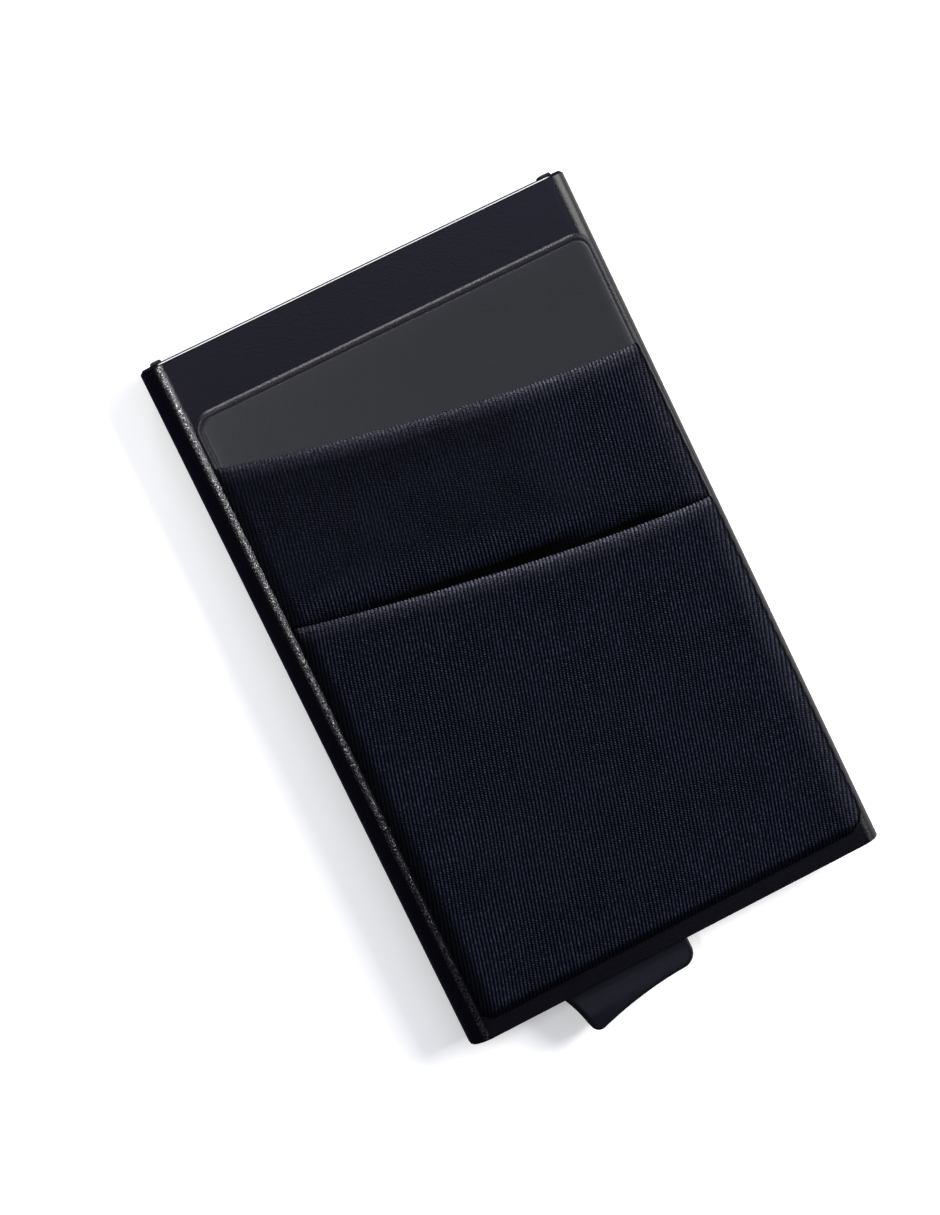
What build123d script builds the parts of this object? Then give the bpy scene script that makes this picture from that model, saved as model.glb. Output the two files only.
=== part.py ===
"""Slim aluminium card case with an eject lever and a stick-on fabric pocket.

Frame: the origin is the centre of the shell's flat back face. +X is to the right and +Y towards
the open end where cards slide out, both seen from the pocket side. +Z is out of the pocket side.
All sizes are in millimetres.
"""

from build123d import *
from math import cos, radians, sin
import os

os.makedirs("parts", exist_ok=True)

# The card that everything is sized around.
card_length = 85.6
card_width = 54.0

# Shell: an extruded tube with a rounded section, open at both ends.
shell_width = 63.2
shell_length = 101.2
shell_thickness = 8.0
shell_radius = 3.0
wall = 0.9
rim_bevel = 0.42
base_bevel = 0.15

# Sizes inside the shell.
fit_gap = 0.05
inner_width = shell_width - 2 * wall
inner_thickness = shell_thickness - 2 * wall
inner_radius = shell_radius - wall
mid_z = shell_thickness / 2
rim_y = shell_length / 2
base_y = -shell_length / 2

# Card guides: side rails, each with a brake strip let into it and a small ear past the rim.
bay_half_width = card_width / 2 + 0.15
guide_top_y = rim_y - 0.6
ear_centre_x = 29.15
ear_width = 1.5
ear_height = 0.45
ear_thickness = 3.2
strip_height = 3.0
strip_depth = 0.6
strip_proud = 0.3
strip_length = 62.0
strip_centre_y = 12.0

# Eject lever: pivot, stepped arm and thumb tab.
pivot_x = 24.5
pivot_y = -44.0
pin_radius = 1.0
pin_running_gap = 0.05
hub_radius = 3.4
lever_thickness = 4.9
card_floor_y = -38.7
arm_end_x = -26.8
arm_end_depth = 2.8
arm_root_depth = 5.3
step_count = 5
step_pitch = 8.0
step_depth = 6.0
neck_left_x = -17.8
neck_right_x = 1.4
tab_left_hollow = (-16.6, -53.3)
tab_tip = (-15.45, -57.65)
tab_hollow = (-8.6, -55.7)
tab_heel = (1.45, -54.7)
tip_radius = 1.3
heel_radius = 2.2
tab_drop = 1.4
tab_edge_round = 0.8
press_angle = 10.0

# End cap: the plug that holds the lever.
cap_recess = 0.25
cap_bar = 2.5
cap_web = 0.5
cap_top_y = card_floor_y - 0.2
cavity_left_x = -27.25
cavity_right_x = 28.2
slot_margin = 0.5

# Pocket: layers that follow the shell's front face and its right-hand rounding.
adhesive_thickness = 0.15
backing_thickness = 0.5
fabric_thickness = 0.5
pocket_left_x = -28.8
pocket_right_x = 30.7
pocket_bottom_y = -48.0
backing_top_y = 42.2
backing_top_radius = 2.8
pocket_left_radius = 1.8
pocket_right_radius = 3.0
adhesive_inset = 0.6
fabric_inset = 0.6
upper_mouth = ((-28.8, 34.9), (-1.1, 28.9), (30.1, 25.3))
lower_mouth = ((-28.8, 11.25), (3.0, 5.35), (30.1, 2.3))

slot_left_x = neck_left_x - 2 * slot_margin
slot_right_x = tab_heel[0] + slot_margin
bar_top_y = base_y + cap_recess + cap_bar
lever_foot_y = bar_top_y + 0.1
lever_bottom_z = mid_z - lever_thickness / 2
lever_top_z = mid_z + lever_thickness / 2
cap_thickness = inner_thickness - 2 * fit_gap
cap_cavity = cap_thickness - 2 * cap_web


def section_at(y):
    """The plane square to the length of the case at y, its own axes along X and Z."""
    return Plane.XZ.offset(-y)


def save(piece, name):
    piece.part.label = name
    export_step(piece.part, f"parts/{name}.step")


# Shell tube, with a bright bevel round the rim where the cards come out.
with BuildPart() as shell_tube:
    with BuildSketch(section_at(base_y)):
        with Locations((0, mid_z)):
            RectangleRounded(shell_width, shell_thickness, shell_radius)
            RectangleRounded(inner_width, inner_thickness, inner_radius, mode=Mode.SUBTRACT)
    extrude(amount=-shell_length)
    rim = shell_tube.faces().sort_by(Axis.Y)[-1].outer_wire()
    chamfer(rim.edges(), rim_bevel)
    base = shell_tube.faces().sort_by(Axis.Y)[0].outer_wire()
    chamfer(base.edges(), base_bevel)
save(shell_tube, "shell_tube")

# End cap: a plug with a cavity for the lever, a slot for its tab and holes for its pin.
with BuildPart() as end_cap:
    with BuildSketch(section_at(base_y + cap_recess)):
        with Locations((0, mid_z)):
            RectangleRounded(inner_width - 2 * fit_gap, cap_thickness, inner_radius - fit_gap)
    extrude(amount=-(cap_top_y - base_y - cap_recess))
    with BuildSketch(Plane.XY.offset(mid_z - cap_cavity / 2)) as cavity:
        with BuildLine():
            Polyline(
                (cavity_left_x, cap_top_y + 1),
                (cavity_left_x, bar_top_y),
                (slot_left_x, bar_top_y),
                (slot_left_x, base_y - 1),
                (slot_right_x, base_y - 1),
                (slot_right_x, bar_top_y),
                (cavity_right_x, bar_top_y),
                (cavity_right_x, cap_top_y + 1),
                close=True,
            )
        make_face()
        inner_corners = [v for v in cavity.vertices() if abs(v.X) > 25 and v.Y < cap_top_y]
        fillet(inner_corners, 1.0)
    extrude(amount=cap_cavity, mode=Mode.SUBTRACT)
    with Locations((pivot_x, pivot_y, mid_z)):
        Cylinder(pin_radius, shell_thickness, mode=Mode.SUBTRACT)
save(end_cap, "end_cap")

# Pivot pin, pressed into the cap's two thin walls.
with BuildPart() as pivot_pin:
    with Locations((pivot_x, pivot_y, mid_z)):
        Cylinder(pin_radius, cap_thickness)
    chamfer(pivot_pin.edges().filter_by(GeomType.CIRCLE), 0.15)
save(pivot_pin, "pivot_pin")

# Eject lever: hub, arm and thumb tab in one moulding.
with BuildPart() as eject_lever:
    with BuildSketch(Plane.XY.offset(lever_bottom_z)) as lever_outline:
        with BuildLine():
            Polyline(
                (neck_left_x, base_y),
                (neck_left_x, card_floor_y - arm_root_depth),
                (arm_end_x, card_floor_y - arm_end_depth),
                (arm_end_x, card_floor_y),
                (pivot_x - 8, card_floor_y),
                (pivot_x + 1, pivot_y + hub_radius - 0.2),
                (pivot_x, lever_foot_y),
                (neck_right_x, lever_foot_y),
                (neck_right_x, base_y),
                tab_heel,
            )
            ThreePointArc(tab_heel, tab_hollow, tab_tip)
            ThreePointArc(tab_tip, tab_left_hollow, (neck_left_x, base_y))
        make_face()
        with Locations((pivot_x, pivot_y)):
            Circle(hub_radius)
        tip = lever_outline.vertices().sort_by(Axis.Y)[0]
        fillet(tip, tip_radius)
        heel = lever_outline.vertices().sort_by_distance(tab_heel)[0]
        fillet(heel, heel_radius)
    extrude(amount=lever_thickness)

    # The tab's face falls away towards its outer edge, and the edges round it are rounded.
    crown_start = (base_y, lever_top_z)
    crown_end = (tab_tip[1], lever_top_z - tab_drop)
    with BuildSketch(Plane.YZ):
        with BuildLine():
            TangentArc(crown_start, crown_end, tangent=(-1, 0))
            Polyline(crown_end, (crown_end[0], lever_top_z + 1), (base_y, lever_top_z + 1), crown_start)
        make_face()
    extrude(amount=shell_width, both=True, mode=Mode.SUBTRACT)
    tab_edges = eject_lever.edges().filter_by(lambda e: e.center().Y < base_y - 0.01)
    fillet(tab_edges.filter_by(Axis.Z, reverse=True), tab_edge_round)

    # The arm is a stair with one tread for each card, the rear card's the longest.
    tread = lever_thickness / step_count
    for step in range(1, step_count):
        with BuildSketch(Plane.XY.offset(lever_bottom_z + step * tread)):
            with BuildLine():
                Polyline(
                    (arm_end_x - 1, card_floor_y + 1),
                    (arm_end_x + step * step_pitch, card_floor_y + 1),
                    (arm_end_x + step * step_pitch, card_floor_y - step_depth),
                    (arm_end_x - 1, card_floor_y - step_depth),
                    close=True,
                )
            make_face()
        extrude(amount=lever_thickness, mode=Mode.SUBTRACT)
    with Locations((pivot_x, pivot_y, mid_z)):
        Cylinder(pin_radius + pin_running_gap, shell_thickness, mode=Mode.SUBTRACT)
save(eject_lever, "eject_lever")

# Card guides and the brake strips let into them, the left pair a mirror of the right.
guide_bottom_y = cap_top_y + 0.3
with BuildPart() as card_guide_right:
    with BuildSketch(section_at(guide_bottom_y)):
        with Locations((0, mid_z)):
            RectangleRounded(inner_width - 2 * fit_gap, cap_thickness, inner_radius - fit_gap)
            Rectangle(2 * bay_half_width, shell_thickness, mode=Mode.SUBTRACT)
            with Locations((-inner_width / 2, 0)):
                Rectangle(inner_width, shell_thickness, mode=Mode.SUBTRACT)
    extrude(amount=-(guide_top_y - guide_bottom_y))
    ear_base = 0.5
    with BuildSketch(section_at(guide_top_y - ear_base)):
        with Locations((ear_centre_x, mid_z)):
            Rectangle(ear_width, ear_thickness)
    extrude(amount=-(rim_y + ear_height - guide_top_y + ear_base))
    fillet(card_guide_right.faces().sort_by(Axis.Y)[-1].edges(), 0.3)
    with Locations((bay_half_width, strip_centre_y, mid_z)):
        Box(2 * (strip_depth - strip_proud), strip_length, strip_height, mode=Mode.SUBTRACT)
save(card_guide_right, "card_guide_right")

with BuildPart() as brake_strip_right:
    with Locations((bay_half_width + strip_depth / 2 - strip_proud, strip_centre_y, mid_z)):
        Box(strip_depth, strip_length, strip_height)
    inner_face = brake_strip_right.faces().sort_by(Axis.X)[0]
    fillet(inner_face.edges().filter_by(Axis.Y), 0.2)
save(brake_strip_right, "brake_strip_right")

with BuildPart() as card_guide_left:
    mirror(card_guide_right.part, about=Plane.YZ)
save(card_guide_left, "card_guide_left")

with BuildPart() as brake_strip_left:
    mirror(brake_strip_right.part, about=Plane.YZ)
save(brake_strip_left, "brake_strip_left")


def skin_section(low, thickness):
    """The section of a layer round the shell, from low to low + thickness off its surface."""
    with BuildSketch(section_at(base_y)) as section:
        with Locations((0, mid_z)):
            for offset_by, mode in ((low + thickness, Mode.ADD), (low, Mode.SUBTRACT)):
                RectangleRounded(
                    shell_width + 2 * offset_by,
                    shell_thickness + 2 * offset_by,
                    shell_radius + offset_by,
                    mode=mode,
                )
    return section.sketch


def pocket_outline(left, right, bottom, radii, mouth, top_radius):
    """An outline on the pocket face, closed at the top by its mouth, a line or an arc."""
    with BuildSketch(Plane.XY.offset(mid_z)) as outline:
        with BuildLine():
            Polyline(mouth[0], (left, bottom), (right, bottom), mouth[-1])
            if len(mouth) == 3:
                ThreePointArc(*mouth)
            else:
                Line(*mouth)
        make_face()
        for end, radius in ((-1, radii[1]), (0, radii[0])):
            fillet(outline.vertices().group_by(Axis.Y)[0].sort_by(Axis.X)[end], radius)
        if top_radius:
            fillet(outline.vertices().group_by(Axis.Y)[-1], top_radius)
    return outline.sketch


backing_low = adhesive_thickness
upper_low = backing_low + backing_thickness
lower_low = upper_low + fabric_thickness
backing_mouth = ((pocket_left_x, backing_top_y), (pocket_right_x, backing_top_y))
pocket_radii = (pocket_left_radius, pocket_right_radius)

# Adhesive sheet: double-sided film a little smaller than the backing.
film_left_x = pocket_left_x + adhesive_inset
film_right_x = pocket_right_x - adhesive_inset
film_top_y = backing_top_y - adhesive_inset
with BuildPart() as adhesive_sheet:
    extrude(skin_section(0, adhesive_thickness), amount=-shell_length)
    film_outline = pocket_outline(
        left=film_left_x,
        right=film_right_x,
        bottom=pocket_bottom_y + adhesive_inset,
        radii=(pocket_left_radius - adhesive_inset, pocket_right_radius - adhesive_inset),
        mouth=((film_left_x, film_top_y), (film_right_x, film_top_y)),
        top_radius=backing_top_radius - adhesive_inset,
    )
    extrude(film_outline, amount=shell_thickness, mode=Mode.INTERSECT)
save(adhesive_sheet, "adhesive_sheet")

with BuildPart() as pocket_backing:
    extrude(skin_section(backing_low, backing_thickness), amount=-shell_length)
    backing_outline = pocket_outline(
        left=pocket_left_x,
        right=pocket_right_x,
        bottom=pocket_bottom_y,
        radii=pocket_radii,
        mouth=backing_mouth,
        top_radius=backing_top_radius,
    )
    extrude(backing_outline, amount=shell_thickness, mode=Mode.INTERSECT)
save(pocket_backing, "pocket_backing")

# The two fabric panels, each open along its mouth and bonded round its other three sides.
panel_right_x = pocket_right_x - fabric_inset
with BuildPart() as upper_pocket_panel:
    extrude(skin_section(upper_low, fabric_thickness), amount=-shell_length)
    upper_outline = pocket_outline(
        left=pocket_left_x,
        right=panel_right_x,
        bottom=pocket_bottom_y,
        radii=pocket_radii,
        mouth=upper_mouth,
        top_radius=0,
    )
    extrude(upper_outline, amount=shell_thickness, mode=Mode.INTERSECT)
save(upper_pocket_panel, "upper_pocket_panel")

with BuildPart() as lower_pocket_panel:
    extrude(skin_section(lower_low, fabric_thickness), amount=-shell_length)
    lower_outline = pocket_outline(
        left=pocket_left_x,
        right=panel_right_x,
        bottom=pocket_bottom_y,
        radii=pocket_radii,
        mouth=lower_mouth,
        top_radius=0,
    )
    extrude(lower_outline, amount=shell_thickness, mode=Mode.INTERSECT)
save(lower_pocket_panel, "lower_pocket_panel")

# How far the longest tread lifts its card, and where the tab's tip ends, at full press.
arm_reach = pivot_x - arm_end_x
card_lift = arm_reach * sin(radians(press_angle))
tip_dx = tab_tip[0] - pivot_x
tip_dy = tab_tip[1] - pivot_y
pressed_tip_y = pivot_y - tip_dx * sin(radians(press_angle)) + tip_dy * cos(radians(press_angle))
print(f"card lift {card_lift:.1f} mm, pressed tip {base_y - pressed_tip_y:.2f} mm past the base")
print(f"a {card_length} mm card stops {rim_y - card_floor_y - card_length:.1f} mm short of the rim")
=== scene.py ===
"""Looks of a slim aluminium card case with a stick-on double pocket of ribbed stretch fabric."""

import math

import bpy
import numpy as np
from mathutils import Euler, Matrix, Vector


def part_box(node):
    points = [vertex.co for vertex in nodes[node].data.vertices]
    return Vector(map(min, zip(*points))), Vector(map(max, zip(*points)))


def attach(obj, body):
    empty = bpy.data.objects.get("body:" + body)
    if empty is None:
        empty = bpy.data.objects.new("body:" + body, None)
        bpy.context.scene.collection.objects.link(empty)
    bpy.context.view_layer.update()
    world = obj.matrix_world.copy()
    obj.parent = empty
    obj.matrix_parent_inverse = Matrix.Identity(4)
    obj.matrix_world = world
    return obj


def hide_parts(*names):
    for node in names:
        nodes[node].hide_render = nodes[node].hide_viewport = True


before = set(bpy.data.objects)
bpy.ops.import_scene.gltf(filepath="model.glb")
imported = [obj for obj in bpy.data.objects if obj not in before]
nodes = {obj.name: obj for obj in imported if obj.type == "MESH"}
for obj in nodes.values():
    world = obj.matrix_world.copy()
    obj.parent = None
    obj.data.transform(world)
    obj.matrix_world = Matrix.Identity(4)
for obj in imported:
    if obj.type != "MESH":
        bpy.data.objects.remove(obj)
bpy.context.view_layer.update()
rng = np.random.default_rng(7)
MM = 0.001

# The case, in millimetres, read from the frame.
shell_high = np.array(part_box("shell_tube")[1]) / MM
pocket_low, pocket_high = (np.array(corner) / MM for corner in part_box("pocket_backing"))
panel_high = np.array(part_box("upper_pocket_panel")[1]) / MM
face_z = shell_high[2]
rim_y = shell_high[1]
corner_radius = 3.0
flat_half = shell_high[0] - corner_radius

# Levels above the shell's face, in millimetres. Sheets keep their flat width at the neutral level.
film_top = 0.15
backing_top = 0.65
upper_base = 0.66
neutral_level = 0.6

# The knit, in millimetres.
fabric_thickness = 0.5
course_pitch = 0.33
rib_depth = 0.2
tooth_depth = 0.22
press_width = 1.3
layer_gap = 0.03
samples_per_rib = 8
under_rows = 16


# ---------------------------------------------------------------- geometry helpers

def on_case(s, y, h):
    """Points at developed width s, length y and height h over the shell, round its edge too."""
    over = np.clip(np.abs(s) - flat_half, 0, None)
    angle = over / (corner_radius + neutral_level)
    reach = corner_radius + h
    flat = np.minimum(np.abs(s), flat_half)
    x = np.sign(s) * (flat + reach * np.sin(angle))
    z = face_z - corner_radius + reach * np.cos(angle)
    return np.stack([x, y, z], axis=-1) * MM


def developed(x, h):
    """The developed width of a point that lies at x, at height h over the shell."""
    angle = math.asin(max(0.0, abs(x) - flat_half) / (corner_radius + h))
    return math.copysign(min(abs(x), flat_half) + angle * (corner_radius + neutral_level), x)


def smooth(low, high, value):
    """A soft step from 0 at low to 1 at high, and the other way round where low is above high."""
    t = np.clip((value - low) / (high - low), 0, 1)
    return t * t * (3 - 2 * t)


def rounded(distance, width):
    """The rise from 0 to 1 of an edge that rounds over within width."""
    t = np.clip(distance / width, 0, 1)
    return np.sqrt(1 - (1 - t) ** 2)


def make_waves(count, longest, shortest):
    """Random plane waves whose sum is a smooth, unrepeating field of height about 1."""
    lengths = np.geomspace(longest, shortest, count)
    turns = rng.uniform(0, 2 * math.pi, (2, count))
    return lengths, turns[0], turns[1]


def field(waves, a, b):
    """The height of the waves' sum at a across and b along."""
    total = 0
    for length, heading, phase in zip(*waves, strict=True):
        along = a * math.cos(heading) + b * math.sin(heading)
        total = total + np.sin(2 * math.pi * along / length + phase)
    return total / math.sqrt(len(waves[0]) / 2) / 2


def add_mesh(name, points, faces, material, attributes=()):
    """A new smooth-shaded piece. attributes are (name, values) with one value for each point."""
    mesh = bpy.data.meshes.new(name)
    mesh.from_pydata(np.asarray(points).tolist(), [], faces)
    mesh.validate()
    for key, values in attributes:
        values = np.asarray(values, np.float32)
        kind = "FLOAT_VECTOR" if values.ndim == 2 else "FLOAT"
        attribute = mesh.attributes.new(key, kind, "POINT")
        attribute.data.foreach_set("vector" if values.ndim == 2 else "value", values.ravel())
    mesh.polygons.foreach_set("use_smooth", [True] * len(mesh.polygons))
    mesh.materials.append(material)
    piece = bpy.data.objects.new(name, mesh)
    bpy.context.scene.collection.objects.link(piece)
    return piece


# ---------------------------------------------------------------- material helpers

class Nodes:
    """Short ways to add and link the nodes of one node tree."""

    def __init__(self, tree):
        self.tree = tree

    def add(self, kind, **settings):
        node = self.tree.nodes.new(kind)
        for key, value in settings.items():
            setattr(node, key, value)
        return node

    def link(self, socket, value):
        if isinstance(value, bpy.types.NodeSocket):
            self.tree.links.new(value, socket)
        else:
            socket.default_value = value

    def scaled(self, vector, by):
        node = self.add("ShaderNodeVectorMath", operation="MULTIPLY")
        self.link(node.inputs[0], vector)
        self.link(node.inputs[1], by)
        return node.outputs[0]

    def added(self, a, b):
        node = self.add("ShaderNodeVectorMath", operation="ADD")
        self.link(node.inputs[0], a)
        self.link(node.inputs[1], b)
        return node.outputs[0]

    def axis(self, vector, name):
        node = self.add("ShaderNodeSeparateXYZ")
        self.link(node.inputs[0], vector)
        return node.outputs[name]

    def towards(self, vector, direction):
        """The cosine of the angle between two unit vectors."""
        node = self.add("ShaderNodeVectorMath", operation="DOT_PRODUCT")
        self.link(node.inputs[0], vector)
        self.link(node.inputs[1], direction)
        return node.outputs["Value"]

    def math(self, operation, a, b=0.0):
        node = self.add("ShaderNodeMath", operation=operation)
        self.link(node.inputs[0], a)
        self.link(node.inputs[1], b)
        return node.outputs[0]

    def span(self, value, low, high, to_low=0.0, to_high=1.0):
        """A soft step from to_low, where value is low, to to_high, where it is high."""
        node = self.add("ShaderNodeMapRange", interpolation_type="SMOOTHSTEP")
        for index, item in enumerate((value, low, high, to_low, to_high)):
            self.link(node.inputs[index], item)
        return node.outputs[0]

    def mix(self, share, a, b, clamp=True):
        node = self.add("ShaderNodeMix", data_type="RGBA", clamp_factor=clamp)
        self.link(node.inputs["Factor"], share)
        self.link(node.inputs["A"], (*a, 1.0) if isinstance(a, tuple) else a)
        self.link(node.inputs["B"], (*b, 1.0) if isinstance(b, tuple) else b)
        return node.outputs["Result"]


class Shader(Nodes):
    """A material with one Principled shader, and what feeds it, measured in millimetres."""

    def __init__(self, name, **values):
        self.material = bpy.data.materials.new(name)
        self.material.use_nodes = True
        super().__init__(self.material.node_tree)
        self.shader = self.tree.nodes["Principled BSDF"]
        for key, value in values.items():
            socket = key.replace("_", " ").title().replace("Ior", "IOR")
            self.shader.inputs[socket].default_value = value
        coordinates = self.add("ShaderNodeTexCoord")
        self.mm = self.scaled(coordinates.outputs["Object"], (1000, 1000, 1000))

    def set(self, name, value):
        self.link(self.shader.inputs[name], value)

    def attribute(self, name, output="Fac"):
        return self.add("ShaderNodeAttribute", attribute_name=name).outputs[output]

    def noise(self, scale, detail=3.0, roughness=0.55, vector=None):
        node = self.add("ShaderNodeTexNoise")
        self.link(node.inputs["Vector"], self.mm if vector is None else vector)
        self.link(node.inputs["Scale"], scale)
        self.link(node.inputs["Detail"], detail)
        self.link(node.inputs["Roughness"], roughness)
        return node.outputs["Fac"]

    def cells(self, scale, feature="F1"):
        node = self.add("ShaderNodeTexVoronoi", feature=feature)
        self.link(node.inputs["Vector"], self.mm)
        self.link(node.inputs["Scale"], scale)
        return node.outputs["Distance"]

    def bump(self, height, distance):
        """distance is the height in millimetres that a change of 1 stands for."""
        node = self.add("ShaderNodeBump")
        self.link(node.inputs["Height"], height)
        self.link(node.inputs["Distance"], distance * MM)
        self.link(node.inputs["Strength"], 1.0)
        return node.outputs["Normal"]


# ---------------------------------------------------------------- materials

def anodised_shell():
    """Bead-blasted aluminium under satin black anodising, with a bright cut along its rim bevel."""
    cut_from, cut_to, blend = 0.31, 0.19, 0.03
    m = Shader("anodised_black", metallic=0.0, specular_ior_level=0.5)
    tone = m.noise(0.05, 2.0)
    colour = m.mix(tone, (0.0016, 0.0015, 0.0024), (0.0026, 0.0024, 0.0038))
    grain = m.noise(5.0, 2.0, 0.65)
    pits = m.cells(3.6, feature="SMOOTH_F1")
    geometry = m.add("ShaderNodeNewGeometry")
    facing = m.axis(geometry.outputs["True Normal"], "Y")
    sideways = m.axis(geometry.outputs["True Normal"], "X")
    rounding = m.math("MULTIPLY", m.span(sideways, -0.1, -0.25), m.span(sideways, -0.97, -0.85))
    highlight_band = m.math("MULTIPLY", m.span(sideways, -0.08, -0.2), m.span(sideways, -0.46, -0.34))

    # The bevel: bright metal between two black lines.
    y = m.axis(m.mm, "Y")
    bevel = m.math("MULTIPLY", m.span(facing, 0.3, 0.5), m.span(facing, 0.97, 0.9))
    cut_start = m.span(y, rim_y - cut_from, rim_y - cut_from + blend)
    cut_end = m.span(y, rim_y - cut_to, rim_y - cut_to + blend)
    cut_colour = m.mix(cut_start, (0.0012, 0.0012, 0.0014), (0.86, 0.87, 0.9))
    cut_colour = m.mix(cut_end, cut_colour, (0.012, 0.012, 0.0135))

    # Bright metallic flecks, set only in the band of the left rounding where the left lamp's highlight
    # falls, so that this highlight sparkles; the right side has none.
    flecks = m.math("MULTIPLY", highlight_band, m.span(m.noise(4.0, 1.0), 0.5, 0.64))
    colour = m.mix(flecks, colour, (0.15, 0.15, 0.16))
    m.set("Base Color", m.mix(bevel, colour, cut_colour))
    m.set("Metallic", m.math("MAXIMUM", bevel, flecks))
    satin = m.span(grain, 0.25, 0.75, 0.13, 0.21)
    m.set("Roughness", m.math("SUBTRACT", satin, m.math("MULTIPLY", bevel, 0.04)))
    relief = m.math("ADD", grain, m.math("MULTIPLY", pits, 0.5))
    relief = m.math("MULTIPLY", relief, m.math("SUBTRACT", 1.0, bevel))
    relief = m.math("MULTIPLY", relief, m.span(rounding, 0.0, 1.0, 1.0, 1.7))
    m.set("Normal", m.bump(relief, 0.022))
    return m.material


def moulded_black():
    """Black plastic with the fine grain of a textured mould."""
    m = Shader("moulded_black", specular_ior_level=0.4)
    tone = m.noise(0.3, 3.0)
    m.set("Base Color", m.mix(tone, (0.008, 0.008, 0.009), (0.013, 0.013, 0.014)))
    grain = m.cells(5.0)
    m.set("Roughness", m.span(grain, 0.0, 0.6, 0.42, 0.6))
    m.set("Normal", m.bump(grain, 0.02))
    return m.material


def gloss_lever():
    """Polished plastic with the faint flow waves and fine hairlines of a handled moulding."""
    m = Shader("polished_lever", specular_ior_level=0.4)
    tone = m.noise(0.15, 2.0)
    m.set("Base Color", m.mix(tone, (0.006, 0.006, 0.009), (0.009, 0.009, 0.013)))
    hairlines = m.noise(1.0, 4.0, 0.7, vector=m.scaled(m.mm, (0.5, 9.0, 2.0)))
    m.set("Roughness", m.span(hairlines, 0.35, 0.75, 0.14, 0.26))
    waves = m.noise(0.35, 2.0)
    m.set("Normal", m.bump(waves, 0.06))
    return m.material


def ground_steel():
    """Bright steel with the rings that grinding leaves round a pin."""
    m = Shader("ground_steel", metallic=1.0)
    rings = m.noise(1.0, 3.0, 0.6, vector=m.scaled(m.mm, (2.0, 2.0, 14.0)))
    m.set("Base Color", m.mix(rings, (0.42, 0.43, 0.45), (0.6, 0.61, 0.63)))
    m.set("Roughness", m.span(rings, 0.3, 0.7, 0.22, 0.4))
    m.set("Normal", m.bump(rings, 0.01))
    return m.material


def brake_felt():
    """Black felt with a short, uneven pile."""
    m = Shader("brake_felt", roughness=0.95, sheen_weight=0.3)
    pile = m.noise(7.0, 4.0, 0.75)
    m.set("Base Color", m.mix(pile, (0.008, 0.008, 0.009), (0.035, 0.035, 0.038)))
    m.set("Normal", m.bump(pile, 0.12))
    return m.material


def adhesive_film():
    """Dark double-sided film, its glue a little uneven."""
    m = Shader("adhesive_film", specular_ior_level=0.5)
    tone = m.noise(1.2, 3.0)
    m.set("Base Color", m.mix(tone, (0.02, 0.02, 0.021), (0.05, 0.05, 0.052)))
    m.set("Roughness", m.span(tone, 0.3, 0.7, 0.25, 0.45))
    m.set("Normal", m.bump(tone, 0.02))
    return m.material


def pocket_leather():
    """Smooth synthetic leather, its grain clearer on the pressed border than in the middle."""
    m = Shader("pocket_leather", specular_ior_level=0.4)
    border = m.attribute("border")
    tone = m.noise(0.12, 3.0)
    middle = m.mix(tone, (0.0135, 0.0145, 0.0155), (0.0165, 0.0175, 0.0185))
    m.set("Base Color", m.mix(border, middle, (0.012, 0.0115, 0.0145)))
    pebbles = m.cells(4.5, feature="SMOOTH_F1")
    fine = m.noise(9.0, 2.0, 0.6)
    grain = m.math("ADD", m.math("MULTIPLY", pebbles, 0.7), m.math("MULTIPLY", fine, 0.5))
    satin = m.span(fine, 0.3, 0.7, 0.36, 0.5)
    m.set("Roughness", m.math("SUBTRACT", satin, m.math("MULTIPLY", border, 0.15)))
    depth = m.math("MULTIPLY", grain, m.span(border, 0.0, 1.0, 0.45, 1.0))
    m.set("Normal", m.bump(depth, 0.05))
    return m.material


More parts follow.
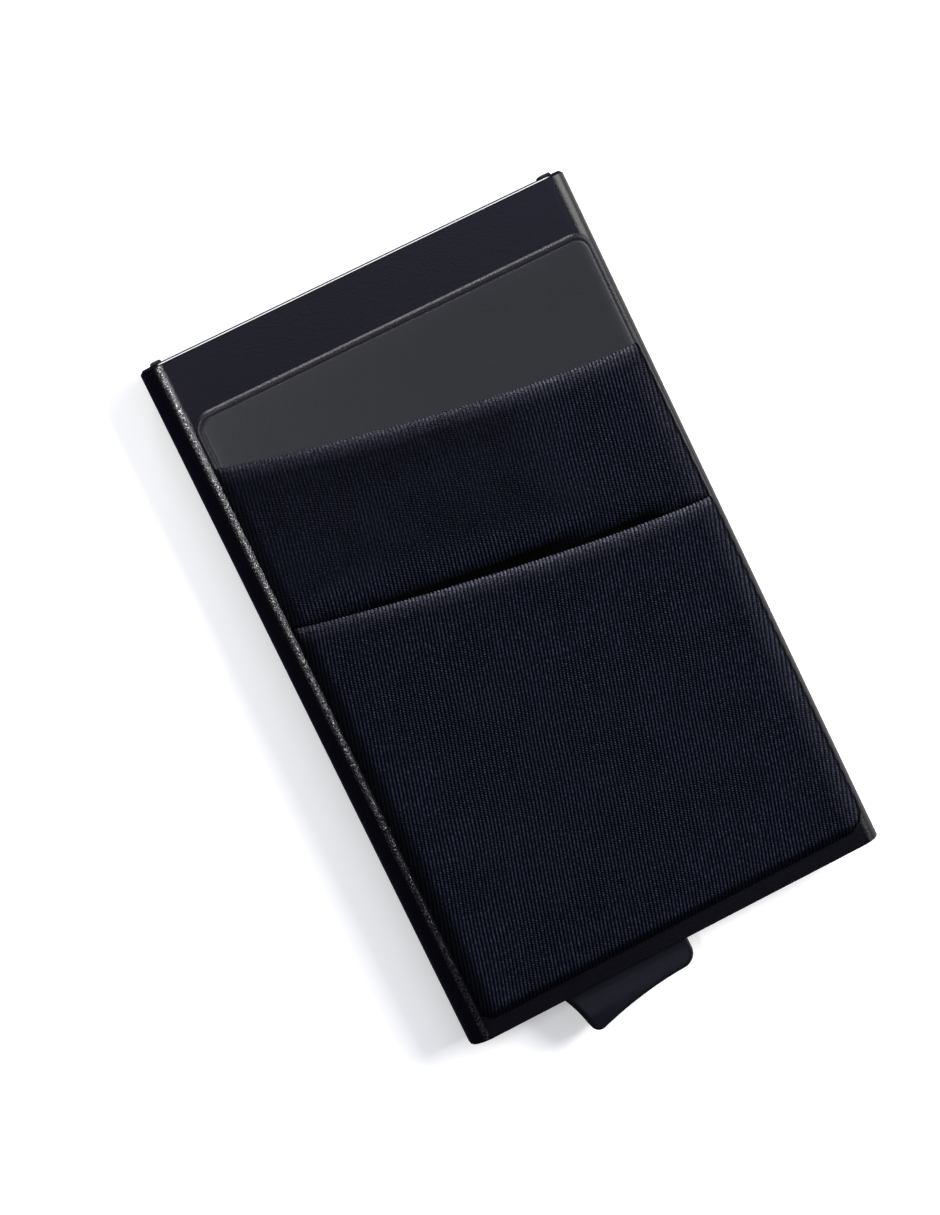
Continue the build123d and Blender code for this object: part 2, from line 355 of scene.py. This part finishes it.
def stretch_fabric():
    """Ribbed nylon knit: beads of yarn along each rib and black gaps between, dark at the edges where it is
    pressed and where shade is painted, with painted highlights on its turned mouths and painted black shade
    behind the slit.
    """
    m = Shader("ribbed_stretch_knit", specular_ior_level=0.05)
    knit = m.attribute("knit", "Vector")
    across = m.axis(knit, "X")
    along = m.axis(knit, "Y")
    crest = m.axis(knit, "Z")
    zone = m.attribute("zone", "Vector")
    painted_black_shade = m.axis(zone, "X")
    pressed = m.axis(zone, "Y")
    painted_highlight = m.axis(zone, "Z")

    # Beads of yarn along each rib, set off by half a stitch from one rib to the next.
    wander = m.noise(0.9, 2.0)
    rows = m.math("ADD", m.math("MULTIPLY", along, 2 * math.pi), m.math("MULTIPLY", wander, 2.2))
    stagger = m.math("MULTIPLY", m.math("FLOOR", across), math.pi)
    stitch = m.math("SINE", m.math("ADD", rows, stagger))
    hatching = m.noise(0.11, 3.0)
    between = m.span(hatching, 0.4, 0.6, 0.6, 0.15)
    on_stitch = m.span(hatching, 0.4, 0.6, 0.75, 1.15)
    bead = m.span(stitch, -0.8, 0.9, between, on_stitch)
    bead = m.math("MULTIPLY", bead, m.span(crest, 0.42, 0.98))

    # Colour: navy yarn in black gaps, darkened with painted shade at the edges, a painted highlight of pale
    # specks on the turned mouths, and painted black shade where the panel goes behind the other.
    flecks = m.span(m.noise(3.6, 2.0, 0.8), 0.45, 0.68, 0.35, 1.5)
    patches = m.span(m.noise(0.045, 2.0), 0.3, 0.7, 1.02, 1.14)
    light = m.math("MULTIPLY", bead, m.math("MULTIPLY", flecks, patches))
    # Painted shade: the colour darkens where the fabric is pressed, and in the shaded bands at its left and
    # bottom edges and below the mouths.
    light = m.math("MULTIPLY", light, m.span(pressed, 0.0, 1.0, 1.0, 0.1))
    colour = m.mix(light, (0.0006, 0.0008, 0.0020), (0.0235, 0.028, 0.050), clamp=False)
    # Painted highlight: pale specks in the colour along the turned mouths and down the right edge.
    painted_glints = m.span(m.noise(4.5, 2.0, 0.8), 0.44, 0.62, 0.12, 1.0)
    turned = m.math("MULTIPLY", m.math("MULTIPLY", painted_highlight, painted_glints), m.span(crest, 0.1, 0.9, 0.15, 1.0))
    colour = m.mix(turned, colour, (0.14, 0.14, 0.175))
    # Painted shade: near-black where the upper panel goes down behind the lower one, and on the undersides.
    m.set("Base Color", m.mix(painted_black_shade, colour, (0.0004, 0.0004, 0.0006)))

    # Gloss and relief: fibres over the beads, both flatter where the colour is painted black as shade.
    fibre = m.noise(5.0, 3.0, 0.7)
    dull = m.math("MAXIMUM", painted_black_shade, m.math("MULTIPLY", pressed, 0.6))
    m.set("Roughness", m.math("MAXIMUM", m.span(fibre, 0.3, 0.75, 0.55, 0.3), dull))
    relief = m.math("ADD", bead, m.math("MULTIPLY", fibre, 1.1))
    relief = m.math("MULTIPLY", relief, m.math("SUBTRACT", 1.0, m.math("MULTIPLY", painted_black_shade, 0.8)))
    m.set("Normal", m.bump(relief, 0.085))
    return m.material


# ---------------------------------------------------------------- pocket outlines

rib_drift = make_waves(count=6, longest=40, shortest=9)
puff_waves = make_waves(count=7, longest=34, shortest=8)
left_s = developed(pocket_low[0], backing_top)
backing_right_s = developed(pocket_high[0], backing_top)
panel_right_s = developed(panel_high[0], upper_base)
bottom_y = pocket_low[1]
left_radius = 1.8
right_radius = 3.0
backing_top_radius = 2.8


def mouth_line(left_y, right_y, sag, skew):
    """The height of a pocket's mouth at developed width s: a slanting, sagging line."""

    def at(s):
        t = np.clip((s - left_s) / (panel_right_s - left_s), 0, 1)
        return left_y + (right_y - left_y) * t - sag * (4 * t * (1 - t)) ** 0.8 * (1 + skew * (t - 0.5))

    return at


upper_mouth = mouth_line(left_y=34.9, right_y=25.3, sag=1.5, skew=0.35)
lower_mouth = mouth_line(left_y=11.25, right_y=2.3, sag=1.08, skew=0.4)
dive_line = mouth_line(left_y=11.35, right_y=2.4, sag=-0.55, skew=1.3)


def panel_outline(mouth, step=0.05):
    """A panel's outline in developed width and length, from its mouth's left end round to its right."""
    a, b = left_radius, right_radius
    turn = np.linspace(0, math.pi / 2, 40)
    left_edge = np.arange(mouth(left_s), bottom_y + a, -step)
    bottom_edge = np.arange(left_s + a, panel_right_s - b, step)
    right_edge = np.arange(bottom_y + b, mouth(panel_right_s), step)
    top_edge = np.arange(panel_right_s, left_s, -step)
    parts = [
        (np.full(len(left_edge), left_s), left_edge),
        (left_s + a - a * np.cos(turn), bottom_y + a - a * np.sin(turn)),
        (bottom_edge, np.full(len(bottom_edge), bottom_y)),
        (panel_right_s - b + b * np.sin(turn), bottom_y + b - b * np.cos(turn)),
        (np.full(len(right_edge), panel_right_s), right_edge),
        (top_edge, mouth(top_edge)),
    ]
    return np.concatenate([np.stack(part, axis=1) for part in parts])


def edge_distance(s, y):
    """How far a point lies in from a panel's bonded left, right and bottom edges."""
    left, right, low = s - left_s, panel_right_s - s, y - bottom_y
    side = np.minimum(left, right)
    r = np.where(left < right, left_radius, right_radius)
    in_corner = (side < r) & (low < r)
    round_gap = r - np.hypot(r - side, r - low)
    return np.clip(np.where(in_corner, round_gap, np.minimum(side, low)), 0, None)


def rib_crest(u, v, tilt, pitch):
    """The rib count, and the crest's height from 0 to 1, at u across and v along the ribs."""
    s, y = unturned(u, v, tilt)
    phase = (u + 0.1 * field(rib_drift, s, y)) / pitch
    return phase, np.abs(np.cos(math.pi * phase)) ** 0.75


def unturned(u, v, tilt):
    """Developed width and length of a point at u across and v along ribs that lean by tilt."""
    return u * math.cos(tilt) + v * math.sin(tilt), -u * math.sin(tilt) + v * math.cos(tilt)


def column_ends(outline, tilt, pitch):
    """The columns of a panel's grid, several to a rib, and where each enters and leaves the outline."""
    across = outline @ np.array([math.cos(tilt), -math.sin(tilt)])
    along = outline @ np.array([math.sin(tilt), math.cos(tilt)])
    step = pitch / samples_per_rib
    columns = np.arange(across.min() + step / 2, across.max(), step)
    across = np.append(across, across[0])
    along = np.append(along, along[0])
    ends = []
    for u in columns:
        side = across > u
        hits = np.nonzero(side[1:] != side[:-1])[0]
        share = (u - across[hits]) / (across[hits + 1] - across[hits])
        found = along[hits] + share * (along[hits + 1] - along[hits])
        ends.append((found.min(), found.max()))
    return columns, np.array(ends)


def sheet_faces(count, rows, kept):
    """A sheet's faces: a fine top grid, an underside with kept rows, and the edges between them.

    Only the two ends of each column are joined, so the first and the last column each keep an
    open slit, less than a millimetre long.
    """
    top = np.arange(count * rows).reshape(count, rows)
    under = count * rows + np.arange(count * kept).reshape(count, kept)
    faces = []
    for i in range(count - 1):
        k = i + 1
        for j in range(rows - 1):
            faces.append((top[i, j], top[k, j], top[k, j + 1], top[i, j + 1]))
        for j in range(kept - 1):
            faces.append((under[i, j], under[i, j + 1], under[k, j + 1], under[k, j]))
        faces.append((top[i, 0], under[i, 0], under[k, 0], top[k, 0]))
        faces.append((top[i, -1], top[k, -1], under[k, -1], under[i, -1]))
    return faces


def pressed_and_shaded_zone(s, y, gap, crispness):
    """How flat and dark the fabric is: pressed at its bonded edges, painted shade in wider bands along its
    left and bottom edges and below its mouth, and darker where its ribs are smooth.
    """
    # Painted shade in a band about 3 mm wide down the left edge; along the bottom, a 1.5 mm band that is
    # both pressed and painted shade.
    edges = np.maximum(smooth(3.1, 0.9, s - left_s), smooth(1.5, 0.9, y - bottom_y))
    # The bonded edge, pressed flat, all round.
    edges = np.maximum(edges, smooth(0.8, 0.4, edge_distance(s, y)))
    # Painted shade a few millimetres below the mouth, where the fabric rolls under.
    below_mouth = smooth(1.4, 2.4, gap) * smooth(7.5, 3.5, gap)
    # Darker where the ribs are smooth, the more so below the mouth.
    return np.maximum(edges, (1 - crispness) * (1.3 + 0.3 * below_mouth))


def painted_highlight_zone(s, y, gap, crispness):
    """The painted highlight where the fabric catches the light: on its turned mouth, and a little down its
    right edge.
    """
    mouth_highlight = 0.4 * smooth(2.8, 0.3, gap) + 0.6 * smooth(1.1, 0.2, gap)
    right_edge_highlight = 0.16 * smooth(3.5, 1.2, panel_right_s - s)
    off_edge = 1 - smooth(0.8, 0.4, edge_distance(s, y))
    # More painted highlight towards the right, where the light falls.
    to_the_right = 0.45 + 0.55 * smooth(-28, -8, s)
    return np.maximum(mouth_highlight, right_edge_highlight) * off_edge * crispness * to_the_right


def ribbed_panel(name, mouth, rib_degrees, pitch, rows, sharpness, black_shade, height, floor, material):
    """A sheet of ribbed knit with two faces. Its grid runs along the ribs: every rib is real shape."""
    tilt = math.radians(rib_degrees)
    columns, ends = column_ends(panel_outline(mouth), tilt, pitch)
    ends[:, 1] -= tooth_depth * (1 - rib_crest(columns, ends[:, 1], tilt, pitch)[1])
    t = 0.5 - 0.5 * np.cos(np.linspace(0, math.pi, rows))
    v = ends[:, :1] + (ends[:, 1:] - ends[:, :1]) * t
    u = np.repeat(columns[:, None], rows, axis=1)
    s, y = unturned(u, v, tilt)
    phase, crest = rib_crest(u, v, tilt, pitch)
    crispness = sharpness(s, y)
    crest = 1 - crispness * (1 - crest)

    keep = np.unique(np.linspace(0, rows - 1, under_rows).astype(int))
    top_points = on_case(s, y, height(s, y, crest))
    under_points = on_case(s[:, keep], y[:, keep], floor(s, y)[:, keep])
    points = np.concatenate([top_points.reshape(-1, 3), under_points.reshape(-1, 3)])
    faces = sheet_faces(len(columns), rows, len(keep))

    gap = mouth(s) - y
    knit = np.stack([phase + 0.5, v / course_pitch, crest], axis=-1)
    pressed = pressed_and_shaded_zone(s, y, gap, crispness)
    painted_highlight = painted_highlight_zone(s, y, gap, crispness)
    # For the material, zone holds where to paint black shade, how pressed and shaded the fabric is, and
    # where to paint highlight.
    zone = np.stack([black_shade(s, y), pressed, painted_highlight], axis=-1)
    knit_all = np.concatenate([knit.reshape(-1, 3), knit[:, keep].reshape(-1, 3)])
    # The undersides are painted black all over, as shade.
    under_zone = np.tile((1.0, 0.0, 0.0), (len(under_points.reshape(-1, 3)), 1))
    zone_all = np.concatenate([zone.reshape(-1, 3), under_zone])
    return add_mesh(name, points, faces, material, [("knit", knit_all), ("zone", zone_all)])


def bonded(s, y):
    """A panel's thickness, which rounds down to its bonded edges, and that rise from 0 to 1."""
    rise = rounded(edge_distance(s, y), press_width)
    return fabric_thickness * (0.35 + 0.65 * rise), rise


def upper_sharpness(s, y):
    """The upper panel is stretched smooth in its middle, less so to the right and by the slit."""
    return 0.55 + 0.45 * np.maximum(0.9 * smooth(6, 22, s), smooth(5, 1, y - dive_line(s)))


def upper_black_shade(s, y):
    """Painted shade: 1 where the upper panel has gone down behind the lower one, painted black there as the
    slit's shade.
    """
    return smooth(0.25, -0.35, y - dive_line(s))


def upper_height(s, y, crest):
    """The upper panel's outer face: it swells in the middle and sinks behind the slit."""
    thick, rise = bonded(s, y)
    gap = np.clip(upper_mouth(s) - y, 0, None)
    above_slit = y - dive_line(s)
    ribs = rib_depth * (crest - 0.5) * (0.5 + 0.5 * rise) * (0.2 + 0.8 * smooth(-2.5, -0.5, above_slit))
    wide = smooth(0, 7, edge_distance(s, y))
    swell = 0.5 * wide * smooth(-0.3, 2.0, above_slit) * smooth(-1.0, 5.0, gap)
    ripple = 0.03 * field(puff_waves, s, y) * rise * smooth(0, 3, above_slit)
    sunk = 0.28 * smooth(0.3, -0.6, above_slit) * smooth(-7.0, -4.0, above_slit)
    fold = 0.36 * (1 - rounded(gap, 1.15))
    return upper_base + thick + ribs + swell + ripple - sunk - fold


def upper_floor(s, y):
    """The upper panel's underside lies flat on the backing."""
    return np.full_like(s, upper_base)


def lower_sharpness(s, y):
    """The lower panel's ribs are crisp all over."""
    return np.ones_like(s)


def lower_black_shade(s, y):
    """No painted shade: nothing lies over the lower panel."""
    return np.zeros_like(s)


def lower_lift(s, y):
    """How far the lower panel stands off the one behind it, where its mouth gapes."""
    gap = np.clip(lower_mouth(s) - y, 0, None)
    middle = np.sin(math.pi * np.clip((s - left_s) / (panel_right_s - left_s), 0, 1)) ** 0.8
    return 0.65 * middle * np.exp(-gap / 6.0)


def lower_floor(s, y):
    """The lower panel's underside clears the upper one, and lifts off it at the mouth."""
    return upper_base + bonded(s, y)[0] + layer_gap + lower_lift(s, y) * 0.9


def lower_height(s, y, crest):
    """The lower panel's outer face, a little swollen, with a turned fold along its mouth."""
    thick, rise = bonded(s, y)
    gap = np.clip(lower_mouth(s) - y, 0, None)
    ribs = rib_depth * (crest - 0.5) * (0.5 + 0.5 * rise)
    swell = 0.22 * smooth(0, 12, edge_distance(s, y))
    ripple = 0.03 * field(puff_waves, s + 40, y) * rise
    fold = 0.4 * (1 - rounded(gap, 1.1))
    return lower_floor(s, y) + lower_lift(s, y) * 0.1 + thick + ribs + swell + ripple - fold


# ---------------------------------------------------------------- pocket backing

def backing_sheet(material):
    """The leather backing: a sheet with a rounded edge and a pressed line inside its border."""
    top_y = pocket_high[1]
    turn = np.linspace(0, math.pi / 2, 24)
    side_points = 60

    def ring(inset):
        """The outline drawn in by inset, with evenly spread points on its straight sides."""
        a, b, c = (max(r - inset, 0.02) for r in (backing_top_radius, right_radius, left_radius))
        x0, x1 = left_s + inset, backing_right_s - inset
        y0, y1 = bottom_y + inset, top_y - inset
        sides = [
            np.stack([x0 + a - a * np.cos(turn), y1 - a + a * np.sin(turn)], 1),
            np.stack([x1 - a + a * np.sin(turn), y1 - a + a * np.cos(turn)], 1),
            np.stack([x1 - b + b * np.cos(turn), y0 + b - b * np.sin(turn)], 1),
            np.stack([x0 + c - c * np.sin(turn), y0 + c - c * np.cos(turn)], 1),
        ]
        path = []
        for index, side in enumerate(sides):
            path.append(side)
            after = sides[(index + 1) % 4][0]
            share = np.linspace(0, 1, side_points + 2)[1:-1, None]
            path.append(side[-1] * (1 - share) + after * share)
        return np.concatenate(path)

    line_at, line_half, line_depth = 1.0, 0.26, 0.09
    edge_width, edge_depth = 0.38, 0.27
    edge_rings = [0.0, 0.0, 0.0, 0.04, 0.1, 0.18, 0.26, 0.32, 0.36, 0.4, 0.5]
    line_rings = np.linspace(0.62, 1.3, 14)
    middle_rings = [1.5, 1.8, 2.2, 2.8, 3.6, 4.6, 6, 8, 10.5, 13.5, 17, 21, 25, 28.5]
    insets = np.concatenate([edge_rings, line_rings, middle_rings])
    levels = []
    for inset in insets:
        edge_drop = edge_depth * max(0.0, 1 - inset / edge_width) ** 1.15
        groove = line_depth * math.exp(-(((inset - line_at) / line_half) ** 2) * 2)
        plump = 0.05 * float(smooth(1.2, 2.6, inset))
        levels.append(backing_top - edge_drop - groove + plump)
    levels[0] = film_top + 0.02
    levels[1] = (film_top + backing_top) / 2
    points, border = [], []
    for inset, level in zip(insets, levels, strict=True):
        outline = ring(inset)
        wobble = 0.012 * field(puff_waves, outline[:, 0] * 3, outline[:, 1] * 3)
        points.append(on_case(outline[:, 0], outline[:, 1], level + wobble * (inset > 0)))
        border.append(np.full(len(outline), float(smooth(1.25, 0.95, inset))))
    size = len(points[0])
    faces = []
    for k in range(len(insets) - 1):
        for i in range(size):
            j = (i + 1) % size
            faces.append((k * size + i, k * size + j, (k + 1) * size + j, (k + 1) * size + i))
    last = (len(insets) - 1) * size
    faces.append(tuple(range(last, last + size)))
    faces.append(tuple(range(size - 1, -1, -1)))
    attributes = [("border", np.concatenate(border))]
    return add_mesh("leather_backing", np.concatenate(points), faces, material, attributes)


# ---------------------------------------------------------------- brake strips

def felt_strip(name, node, material):
    """A strip of short-pile felt, rounded and uneven, inside the solid that it stands for."""
    low, high = (np.array(corner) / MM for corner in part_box(node))
    middle, half = (low + high) / 2, (high - low) / 2
    edge_round, pile = 0.15, 0.05
    face_points, side_points, length_points = 12, 3, 150
    wide = np.linspace(-1, 1, face_points, endpoint=False)
    thin = np.linspace(-1, 1, side_points, endpoint=False)
    across = np.concatenate([np.ones(face_points), -thin, -np.ones(face_points), thin])
    upward = np.concatenate([wide, np.ones(side_points), -wide, -np.ones(side_points)])
    end = half[1] - np.array([0.0, edge_round / 3, edge_round])
    along = np.concatenate([-end, np.linspace(-end[2], end[2], length_points)[1:-1], end[::-1]])
    size = len(across)
    box = np.stack([
        np.tile(across * half[0], len(along)),
        np.repeat(along, size),
        np.tile(upward * half[2], len(along)),
    ], axis=1)
    inner = np.clip(box, edge_round - half, half - edge_round)
    outward = (box - inner) / np.linalg.norm(box - inner, axis=1, keepdims=True)
    depth = edge_round - rng.uniform(0, pile, (len(box), 1))
    points = (middle + inner + depth * outward) * MM
    faces = [tuple(range(size)), tuple(range(len(box) - 1, len(box) - size - 1, -1))]
    for k in range(len(along) - 1):
        for i in range(size):
            j = (i + 1) % size
            faces.append((k * size + i, (k + 1) * size + i, (k + 1) * size + j, k * size + j))
    return add_mesh(name, points, faces, material)


# ---------------------------------------------------------------- pieces

fabric = stretch_fabric()
backing = backing_sheet(pocket_leather())
upper_panel = ribbed_panel(
    "upper_pocket",
    mouth=upper_mouth,
    rib_degrees=11.0,
    pitch=0.516,
    rows=86,
    sharpness=upper_sharpness,
    black_shade=upper_black_shade,
    height=upper_height,
    floor=upper_floor,
    material=fabric,
)
lower_panel = ribbed_panel(
    "lower_pocket",
    mouth=lower_mouth,
    rib_degrees=15.0,
    pitch=0.506,
    rows=64,
    sharpness=lower_sharpness,
    black_shade=lower_black_shade,
    height=lower_height,
    floor=lower_floor,
    material=fabric,
)

felt = brake_felt()
left_strip = felt_strip("felt_strip_left", "brake_strip_left", felt)
right_strip = felt_strip("felt_strip_right", "brake_strip_right", felt)

for piece, node, slot in (
    (backing, "pocket_backing", "pocket_leather"),
    (upper_panel, "upper_pocket_panel", "stretch_fabric"),
    (lower_panel, "lower_pocket_panel", "stretch_fabric"),
    (left_strip, "brake_strip_left", "brake_felt"),
    (right_strip, "brake_strip_right", "brake_felt"),
):
    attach(piece, "case")
    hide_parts(node)

# The sizes that the sheets are cut to, in metres. A panel's cut area takes its mouth at its middle.
panel_width = (panel_right_s - left_s) * MM
upper_length = (upper_mouth(left_s) - bottom_y) * MM
lower_length = (lower_mouth(left_s) - bottom_y) * MM
middle_s = (left_s + panel_right_s) / 2
upper_area = panel_width * (upper_mouth(middle_s) - bottom_y) * MM
lower_area = panel_width * (lower_mouth(middle_s) - bottom_y) * MM

black_plastic = moulded_black()
finishes = {
    "shell_tube": anodised_shell(),
    "end_cap": black_plastic,
    "card_guide_left": black_plastic,
    "card_guide_right": black_plastic,
    "eject_lever": gloss_lever(),
    "pivot_pin": ground_steel(),
    "adhesive_sheet": adhesive_film(),
}
for name, finish in finishes.items():
    for material_slot in nodes[name].material_slots:
        material_slot.material = finish


# ---------------------------------------------------------------- stage, light and camera

def add_floor():
    """A pale table top, clear from below. It glows a little, and the case's gloss doesn't mirror it."""
    m = Shader("pale_floor", roughness=0.8, specular_ior_level=0.1)
    m.set("Base Color", m.mix(m.noise(0.02, 2.0), (0.88, 0.875, 0.855), (0.91, 0.905, 0.885)))
    m.set("Emission Color", (0.98, 1.0, 0.995, 1.0))
    seen = m.add("ShaderNodeLightPath").outputs["Is Camera Ray"]
    m.set("Emission Strength", m.math("MULTIPLY", seen, 0.33))
    one_sided = m.add("ShaderNodeMixShader")
    m.link(one_sided.inputs["Fac"], m.add("ShaderNodeNewGeometry").outputs["Backfacing"])
    m.link(one_sided.inputs[1], m.shader.outputs[0])
    m.link(one_sided.inputs[2], m.add("ShaderNodeBsdfTransparent").outputs[0])
    m.link(m.tree.nodes["Material Output"].inputs["Surface"], one_sided.outputs[0])
    mesh = bpy.data.meshes.new("floor")
    half = 4.0
    level = -0.05 * MM
    corners = [(-half, -half), (half, -half), (half, half), (-half, half)]
    mesh.from_pydata([(x, y, level) for x, y in corners], [], [(0, 1, 2, 3)])
    mesh.materials.append(m.material)
    floor = bpy.data.objects.new("floor", mesh)
    floor.visible_glossy = False
    bpy.context.scene.collection.objects.link(floor)


def add_softbox(name, place, size, radiance, aim=(0, 0, 0), spread=180, glossy=True):
    """A rectangular light at place, in metres, its second side along Y."""
    light = bpy.data.lights.new(name, "AREA")
    light.shape = "RECTANGLE"
    light.size, light.size_y = size
    light.energy = radiance * math.pi * size[0] * size[1]
    light.spread = math.radians(spread)
    back = (Vector(place) - Vector(aim)).normalized()
    side = Vector((0, 1, 0)).cross(back).normalized()
    turn = Matrix((side, back.cross(side), back)).transposed().to_4x4()
    lamp = bpy.data.objects.new(name, light)
    lamp.matrix_world = Matrix.Translation(place) @ turn
    lamp.visible_camera = False
    lamp.visible_glossy = glossy
    bpy.context.scene.collection.objects.link(lamp)


def add_world():
    """A dark studio with soft screens, each for one part of the case. The camera itself sees white."""
    world = bpy.data.worlds.new("studio")
    world.use_nodes = True
    n = Nodes(world.node_tree)
    direction = n.add("ShaderNodeTexCoord").outputs["Generated"]
    black = (0.0, 0.0, 0.0)
    light = (0.018, 0.018, 0.04)
    # Each screen's direction, the cosines at which its glow begins and is full, and its radiance.
    screens = (
        # the flat face and the backing
        ((0.35, 0.35, 0.87), 0.86, 0.905, (0.5, 0.5, 0.72)),
        # the right-hand rounding
        ((0.94, 0.20, 0.28), 0.88, 0.985, (4.4, 4.4, 4.4)),
        # the right-hand wall
        ((0.95, 0.0, -0.55), 0.80, 0.95, (0.6, 0.6, 0.6)),
        # the rim's bevel
        ((0.12, 0.99, 0.0), 0.965, 0.985, (1.15, 1.15, 1.15)),
        # the backing's edge
        ((0.12, 0.945, 0.30), 0.97, 0.985, (10.0, 10.0, 10.0)),
        # the lever's tab
        ((0.10, -0.49, 0.866), 0.985, 0.996, (0.25, 0.25, 0.31)),
    )
    for screen, outer, inner, radiance in screens:
        glow = n.span(n.towards(direction, Vector(screen).normalized()), outer, inner)
        light = n.added(n.mix(glow, black, radiance), light)
    seen = n.add("ShaderNodeLightPath").outputs["Is Camera Ray"]
    background = n.tree.nodes["Background"]
    n.link(background.inputs["Color"], n.mix(seen, light, (1.0, 1.0, 1.0)))
    bpy.context.scene.world = world


def add_camera():
    """An 85 mm lens 0.39 m over the case, a little to its left, that looks down on it at a slant."""
    camera = bpy.data.cameras.new("camera")
    camera.lens = 85
    camera.sensor_width = 36
    place = Vector((-50.3, 39.2, 389.0)) * MM
    turn = Euler([math.radians(angle) for angle in (-1.9154, -8.3144, -26.0808)])
    eye = bpy.data.objects.new("camera", camera)
    eye.matrix_world = Matrix.LocRotScale(place, turn, None)
    bpy.context.scene.collection.objects.link(eye)
    bpy.context.scene.camera = eye


add_floor()
add_world()
add_softbox("key", place=(0.38, 0.03, 0.3), size=(0.2, 0.2), radiance=21, glossy=False)
add_softbox(
    "fill",
    place=(-0.09, 0.09, 0.12),
    size=(0.06, 0.06),
    radiance=0.7,
    aim=(-0.055, 0.05, 0),
    spread=75,
    glossy=False,
)
add_softbox("left_strip", place=(-0.16, 0.06, 0.4), size=(0.03, 0.12), radiance=42)
add_camera()
bpy.context.scene.view_settings.view_transform = "Standard"
